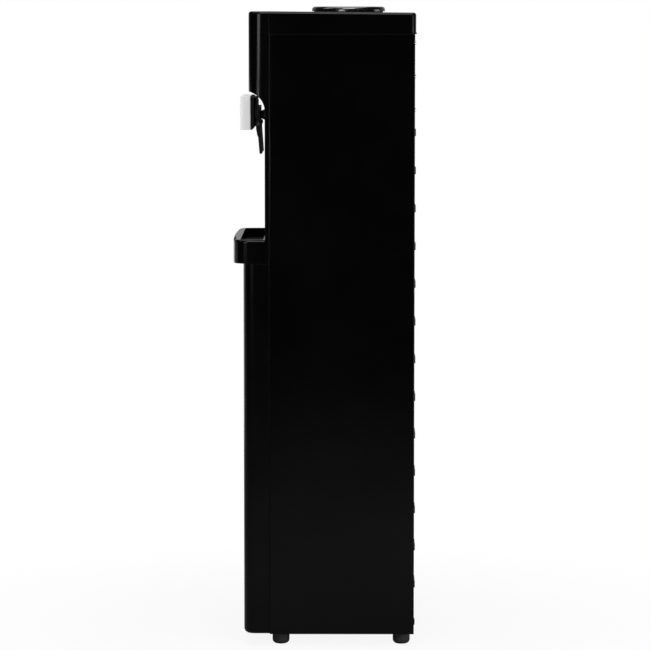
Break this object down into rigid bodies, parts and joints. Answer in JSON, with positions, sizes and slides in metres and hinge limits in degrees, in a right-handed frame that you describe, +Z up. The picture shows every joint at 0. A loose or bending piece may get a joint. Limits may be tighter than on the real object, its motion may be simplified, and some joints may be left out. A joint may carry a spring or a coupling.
{
  "type": "water cooler",
  "caption": "Tall black free-standing water cooler: bottle collar on top, hood over an open cup bay with lever taps, drip tray, and an open back with a wire condenser.",
  "frame": {"origin": "on the floor under the middle of the overall box", "axes": "+Z up; the taps and the tray face -Y; +X is the user's right when facing the taps"},
  "size_m": [0.29, 0.2776, 0.9672],
  "materials": {
    "painted_steel": "satin black paint",
    "zinc_steel": "zinc plated",
    "black_moulding": "semi-gloss black",
    "grille_black": "matt black",
    "silver_trim": "satin silver",
    "tap_black": "satin black",
    "switch_black": "semi-gloss black",
    "white_plastic": "natural white",
    "lens_clear": "milky",
    "foot_rubber": "matt",
    "silicone_hose": "translucent white",
    "stainless": "brushed",
    "copper": "dull copper",
    "foam": "moulded foam"
  },
  "bodies": {
    "cabinet": {"base_plate": "zinc_steel", "capillary_tube": "copper", "cold_hose": "silicone_hose", "cold_lever_pin": "zinc_steel", "cold_tank": "stainless", "cold_tank_lid": "white_plastic", "cold_tap_body": "tap_black", "cold_tap_button": "tap_black", "cold_tap_cover": "silver_trim", "cold_tap_nut": "tap_black", "compressor": "painted_steel", "compressor_mounts": "foot_rubber", "condenser_clamps": "painted_steel", "condenser_tube": "painted_steel", "condenser_wires": "painted_steel", "cord_gland": "foot_rubber", "discharge_pipe": "copper", "drain_hose": "silicone_hose", "drain_outlet": "switch_black", "evaporator": "copper", "feed_hose": "silicone_hose", "feet": "foot_rubber", "filter_drier": "copper", "heater_band": "stainless", "hot_hose": "silicone_hose", "hot_lever_pin": "zinc_steel", "hot_tank": "stainless", "hot_tap_body": "tap_black", "hot_tap_cover": "silver_trim", "hot_tap_nut": "tap_black", "indicator_lenses": "lens_clear", "left_side_panel": "painted_steel", "lower_front_panel": "black_moulding", "lower_shelf": "zinc_steel", "panel_screws": "zinc_steel", "rear_panel": "painted_steel", "relay_box": "switch_black", "right_side_panel": "painted_steel", "suction_pipe": "copper", "switch_bezel": "switch_black", "tank_insulation": "foam", "thermostats": "stainless", "top_cover": "black_moulding", "upper_front_fascia": "black_moulding", "upper_shelf": "zinc_steel"},
    "cold_lever": {"cold_tap_lever": "tap_black"},
    "hot_lever": {"hot_tap_lever": "tap_black"},
    "child_lock": {"hot_child_lock": "tap_black"},
    "tray": {"drip_tray": "black_moulding"},
    "grille": {"drip_grille": "grille_black"},
    "collar": {"bottle_collar": "black_moulding", "water_probe": "white_plastic"},
    "cold_rocker": {"cold_switch": "switch_black"},
    "hot_rocker": {"hot_switch": "switch_black"},
    "cap": {"drain_cap": "switch_black"}
  },
  "joints": [
    {"name": "cold_lever_press", "type": "hinge", "parent": "cabinet", "child": "cold_lever", "pos_m": [0.04, -0.1005, 0.7895], "axis": [1, 0, 0], "range_deg": [0, 12], "stiffness_Nm_per_rad": 0.6, "springref_deg": -2.86},
    {"name": "hot_lever_press", "type": "hinge", "parent": "cabinet", "child": "hot_lever", "pos_m": [-0.04, -0.1005, 0.7895], "axis": [1, 0, 0], "range_deg": [0, 12], "stiffness_Nm_per_rad": 0.6, "springref_deg": -2.86},
    {"name": "child_lock_press", "type": "slide", "parent": "cabinet", "child": "child_lock", "axis": [0, 0, -1], "range_m": [0, 0.004], "stiffness_N_per_m": 300, "springref_m": -0.003},
    {"name": "tray_lift", "type": "slide", "parent": "cabinet", "child": "tray", "axis": [0, 0, 1], "range_m": [0, 0.06]},
    {"name": "grille_lift", "type": "slide", "parent": "tray", "child": "grille", "axis": [0, 0, 1], "range_m": [0, 0.03]},
    {"name": "collar_lift", "type": "slide", "parent": "cabinet", "child": "collar", "axis": [0, 0, 1], "range_m": [0, 0.08]},
    {"name": "cold_switch_rock", "type": "hinge", "parent": "cabinet", "child": "cold_rocker", "pos_m": [-0.0455, 0.1326, 0.872], "axis": [1, 0, 0], "range_deg": [-16, 0]},
    {"name": "hot_switch_rock", "type": "hinge", "parent": "cabinet", "child": "hot_rocker", "pos_m": [-0.0645, 0.1326, 0.872], "axis": [1, 0, 0], "range_deg": [-16, 0]},
    {"name": "drain_cap_turn", "type": "hinge", "parent": "cabinet", "child": "cap", "pos_m": [-0.02, 0.13, 0.045], "axis": [0, 1, 0], "range_deg": [0, 360]}
  ]
}
